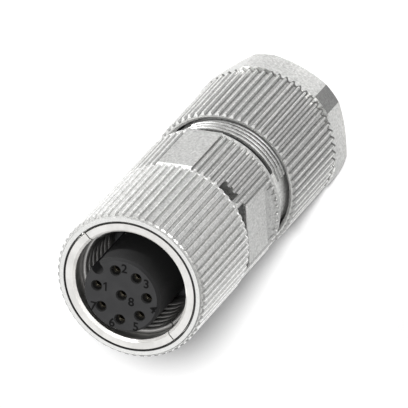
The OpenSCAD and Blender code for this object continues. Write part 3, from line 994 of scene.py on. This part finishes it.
@dataclass
class ContactNumbers:
    """The numbers 1 to 8, moulded on the insert's face."""

    face_z: float
    up_deg: float = -47.0
    height: float = 0.98
    relief: float = 0.03
    boldness: float = 0.025
    digit_share: float = 0.73
    curve_steps: int = 5
    one_outline: tuple[tuple[float, float], ...] = (
        (-0.06, 0.0), (0.1, 0.0), (0.1, 1.0), (-0.04, 1.0), (-0.26, 0.84), (-0.26, 0.68), (-0.06, 0.8))
    numerals: tuple[Numeral, ...] = (
        Numeral("1", 1.82, 22.9), Numeral("2", 3.05, -51.4), Numeral("3", 3.24, -101.9),
        Numeral("4", 3.54, -149.9, turn_deg=-33.0), Numeral("5", 3.6, 160.1), Numeral("6", 3.44, 116.9),
        Numeral("7", 3.54, 75.3), Numeral("8", 1.19, -162.9),
    )

    def _flagged_one(self) -> bpy.types.Mesh:
        """Draw a 1 with a flag, because the built-in font has only a bar.

        Returns:
            The number as a flat raised mesh.
        """
        size, half = self.height * MM, self.relief * MM / 2.0
        corners = [Vector((x * size, (y - 0.5) * size, 0.0)) for x, y in self.one_outline]
        count = len(corners)
        points = [corner + Vector((0.0, 0.0, level)) for level in (-half, half) for corner in corners]
        faces = [tuple(reversed(range(count))), tuple(range(count, 2 * count))]
        faces += [(k, (k + 1) % count, count + (k + 1) % count, count + k) for k in range(count)]
        mesh = bpy.data.meshes.new("number_1")
        mesh.from_pydata(points, [], faces)
        return mesh

    def _typed(self, text: str) -> bpy.types.Mesh:
        """Set a number in the built-in font.

        Args:
            text: The number.

        Returns:
            The number as a flat raised mesh.
        """
        curve = bpy.data.curves.new("number_" + text, "FONT")
        curve.body = text
        curve.size = self.height * MM / self.digit_share
        curve.align_x = "CENTER"
        curve.align_y = "CENTER"
        curve.extrude = self.relief * MM / 2.0
        curve.offset = self.boldness * MM
        curve.resolution_u = self.curve_steps
        holder = add_to_scene("number_" + text, curve)
        mesh = plain_mesh(holder)
        bpy.data.objects.remove(holder)
        return mesh

    def _glyph(self, numeral: Numeral) -> bpy.types.Object:
        """Make one number in its place.

        Args:
            numeral: The number and where it stands.

        Returns:
            The number's object, with its place in its mesh.
        """
        mesh = self._flagged_one() if numeral.text == "1" else self._typed(numeral.text)
        angle = math.radians(numeral.angle_deg)
        spot = Vector((numeral.radius * math.cos(angle), numeral.radius * math.sin(angle), self.face_z))
        turn = math.radians(self.up_deg - 90.0 + numeral.turn_deg)
        mesh.transform(Matrix.Translation(spot * MM) @ Matrix.Rotation(turn, 4, "Z"))
        mesh.materials.clear()
        mesh.materials.append(Finish.NUMBERS.material())
        return add_to_scene("contact_number_" + numeral.text, mesh)

    def build(self) -> None:
        """Make all the numbers."""
        for numeral in self.numerals:
            glyph = self._glyph(numeral)
            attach(glyph, Body.CONNECTOR.value)
            LOG.info("%s: %s", glyph.name, Finish.NUMBERS.material().name)


# ------------------------------
# Sub-assemblies
# ------------------------------


@dataclass
class CouplingNut:
    """The knurled sleeve and its split ring with the M12 x 1 thread."""

    nodes: dict[str, bpy.types.Object]
    core_r: float = 6.0
    crest_r: float = 5.46
    pitch: float = 1.0
    thread_depth: float = 8.4
    mouth: float = 0.5
    slit_deg: float = -2.0
    slit_width_deg: float = 1.6

    def build(self, tree: RidgeTree) -> None:
        """Dress the pieces and cut the thread.

        Args:
            tree: The Geometry Nodes tree for thread ridges.
        """
        dress([self.nodes["nut_sleeve"]], Finish.NUT)
        dress([self.nodes["thread_half_a"], self.nodes["thread_half_b"]], Finish.TURNED)
        face_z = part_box("thread_half_a")[1].z / MM
        ScrewThread("coupling_thread", Body.COUPLING_NUT, ThreadSide.INSIDE, Finish.TURNED, self.core_r, self.crest_r,
                    self.pitch, start_z=face_z - self.thread_depth, length=self.thread_depth - self.mouth,
                    middle_deg=self.slit_deg + 90.0, span_deg=180.0 - self.slit_width_deg).build(tree)


@dataclass
class ContactInsert:
    """The black insert with its contacts, retainer, shell and sealing ring."""

    nodes: dict[str, bpy.types.Object]

    def build(self) -> None:
        """Dress the pieces and add the contact numbers."""
        dress([self.nodes["contact_carrier"], self.nodes["contact_retainer"]], Finish.INSULATOR)
        dress([self.nodes[f"contact_{k}"] for k in range(1, 9)], Finish.CONTACT)
        dress([self.nodes["insert_shell"]], Finish.TURNED)
        dress([self.nodes["insert_o_ring"]], Finish.RUBBER)
        ContactNumbers(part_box("contact_carrier")[1].z / MM).build()


@dataclass
class Housing:
    """The ribbed housing with its threaded neck and what is sealed inside it."""

    nodes: dict[str, bpy.types.Object]
    neck_root_r: float = 6.75
    neck_crest_r: float = 7.05
    pitch: float = 0.6
    thread_from_z: float = 7.6
    undercut_z: float = 16.65
    side_deg: float = -67.0
    span_deg: float = 100.0
    end_size: float = 0.02

    def build(self, tree: RidgeTree) -> None:
        """Dress the pieces and cut the neck's thread.

        Args:
            tree: The Geometry Nodes tree for thread ridges.
        """
        dress([self.nodes["housing"]], Finish.BODY)
        dress([self.nodes["shield_ring"]], Finish.TURNED)
        dress([self.nodes["housing_o_ring"]], Finish.RUBBER)
        ScrewThread("neck_thread", Body.CONNECTOR, ThreadSide.OUTSIDE, Finish.NECK, self.neck_root_r,
                    self.neck_crest_r, self.pitch, start_z=self.thread_from_z,
                    length=self.undercut_z - self.thread_from_z, middle_deg=self.side_deg, span_deg=self.span_deg,
                    end_size=self.end_size).build(tree)


@dataclass
class CableGland:
    """The gland nut, the clamping cage in it and the rubber seal that the cage squeezes."""

    nodes: dict[str, bpy.types.Object]
    merge_gap: float = 0.0005

    def _seal(self) -> None:
        """Copy the rubber seal as one mesh with its doubled points merged, and hide the CAD node."""
        node = "cable_seal"
        seal = add_to_scene("cable_seal_rubber", self.nodes[node].data.copy())
        merged = bmesh.new()
        merged.from_mesh(seal.data)
        bmesh.ops.remove_doubles(merged, verts=merged.verts, dist=self.merge_gap * MM)
        merged.to_mesh(seal.data)
        merged.free()
        dress([seal], Finish.RUBBER)
        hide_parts(node)
        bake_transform(seal)

    def build(self) -> None:
        """Dress the pieces and make the seal."""
        dress([self.nodes["gland_nut"]], Finish.GLAND)
        dress([self.nodes["clamp_cage"]], Finish.CAGE)
        self._seal()


# ------------------------------
# Studio
# ------------------------------


@dataclass(frozen=True)
class Lamp:
    """A sun-like studio lamp by where it stands as seen from the connector."""

    name: str
    azimuth_deg: float
    elevation_deg: float
    level: float
    spread_deg: float

    def build(self) -> None:
        """Hang the lamp."""
        light = bpy.data.lights.new(self.name, "SUN")
        light.energy = self.level * math.pi
        light.angle = math.radians(self.spread_deg)
        azimuth, elevation = math.radians(self.azimuth_deg), math.radians(self.elevation_deg)
        towards = Vector((math.cos(azimuth) * math.cos(elevation), math.sin(azimuth) * math.cos(elevation),
                          math.sin(elevation)))
        add_to_scene(self.name, light).rotation_euler = towards.to_track_quat("Z", "Y").to_euler()
        LOG.info("lamp %s: level %.2f", self.name, self.level)


@dataclass
class Studio:
    """White floor and surround, soft lamps, and the camera."""

    floor_half: float = 1.5
    floor_tone: float = 0.95
    floor_lift: float = 0.12
    surround_level: float = 0.08
    lamps: tuple[Lamp, ...] = (
        Lamp("key_lamp", azimuth_deg=-77.0, elevation_deg=56.0, level=1.0, spread_deg=6.0),
        Lamp("side_lamp", azimuth_deg=4.0, elevation_deg=3.0, level=1.6, spread_deg=4.0),
    )
    azimuth_deg: float = 8.0
    elevation_deg: float = 55.2
    roll_deg: float = -137.8
    distance: float = 1.4
    sensor: float = 36.0
    clip_start: float = 0.01
    clip_end: float = 20.0
    view_width: float = 40.8
    frame_side: float = 408.0
    anchor_z: float = 39.1
    anchor_in_frame: tuple[float, float] = (129.5, 286.6)

    @staticmethod
    def _seen(board: NodeBoard) -> Socket:
        """Tell the rays that see the surround from those that light the connector.

        Args:
            board: The node tree to add it to.

        Returns:
            1 for camera, glossy and transmission rays and 0 for the rest.
        """
        rays = board.node("ShaderNodeLightPath").outputs
        direct = board.maths("MAXIMUM", rays["Is Camera Ray"], rays["Is Glossy Ray"])
        return board.maths("MAXIMUM", direct, rays["Is Transmission Ray"])

    def _surround(self) -> None:
        """Make the white surround that lights the connector softly."""
        world = bpy.data.worlds.new("studio")
        bpy.context.scene.world = world
        world.use_nodes = True
        board = NodeBoard(world.node_tree)
        level = board.fed("ShaderNodeMapRange", Value=self._seen(board), To_Min=self.surround_level, To_Max=1.0)
        board.feed(board.tree.nodes["Background"], Color=(1.0, 1.0, 1.0, 1.0), Strength=level.outputs[0])

    def _floor(self) -> None:
        """Lay the floor: white where it is lit, and still darkened by the connector's shadow."""
        mesh = bpy.data.meshes.new("floor")
        side = self.floor_half
        mesh.from_pydata([(-side, -side, 0), (side, -side, 0), (side, side, 0), (-side, side, 0)], [], [(0, 1, 2, 3)])
        graph = ShaderGraph("floor_white")
        matt = graph.fed("ShaderNodeBsdfDiffuse", Color=(self.floor_tone,) * 3 + (1.0,))
        glow = graph.fed("ShaderNodeEmission", Strength=graph.maths("MULTIPLY", self._seen(graph), self.floor_lift))
        both = graph.node("ShaderNodeAddShader")
        graph.join(matt.outputs[0], both.inputs[0])
        graph.join(glow.outputs[0], both.inputs[1])
        graph.join(both.outputs[0], graph.output.inputs["Surface"])
        mesh.materials.append(graph.material)
        add_to_scene("floor", mesh)

    def _camera(self) -> None:
        """Point the camera so that the coupling nut's face lands on its place in the frame."""
        azimuth, elevation, roll = (math.radians(a) for a in (self.azimuth_deg, self.elevation_deg, self.roll_deg))
        towards = Vector((math.sin(azimuth) * math.cos(elevation), -math.cos(azimuth) * math.cos(elevation),
                          math.sin(elevation)))
        flat_right = Vector((math.cos(azimuth), math.sin(azimuth), 0.0))
        flat_up = towards.cross(flat_right)
        right = flat_right * math.cos(roll) + flat_up * math.sin(roll)
        up = flat_up * math.cos(roll) - flat_right * math.sin(roll)
        mm_per_step = self.view_width / self.frame_side
        half = self.frame_side / 2.0
        target = (Vector((0.0, 0.0, self.anchor_z))
                  - right * (self.anchor_in_frame[0] - half) * mm_per_step
                  - up * (half - self.anchor_in_frame[1]) * mm_per_step) * MM
        data = bpy.data.cameras.new("camera")
        data.sensor_width = self.sensor
        data.lens = self.sensor * self.distance / (self.view_width * MM)
        data.clip_start = self.clip_start
        data.clip_end = self.clip_end
        camera = add_to_scene("camera", data)
        turn = Matrix((right, up, towards)).transposed().to_4x4()
        camera.matrix_world = Matrix.Translation(target + towards * self.distance) @ turn
        bpy.context.scene.camera = camera

    def build(self) -> None:
        """Set the whole studio up."""
        bpy.context.scene.view_settings.view_transform = "Standard"
        self._surround()
        self._floor()
        for lamp in self.lamps:
            lamp.build()
        self._camera()


def main() -> None:
    """Load the frame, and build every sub-assembly and the studio."""
    logging.basicConfig(level=logging.INFO, format="%(name)s: %(message)s")
    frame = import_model()
    nodes = frame["nodes"]
    ridges = RidgeTree("helical_ridges")
    CouplingNut(nodes).build(ridges)
    ContactInsert(nodes).build()
    Housing(nodes).build(ridges)
    CableGland(nodes).build()
    Studio().build()


if __name__ == "__main__":
    main()
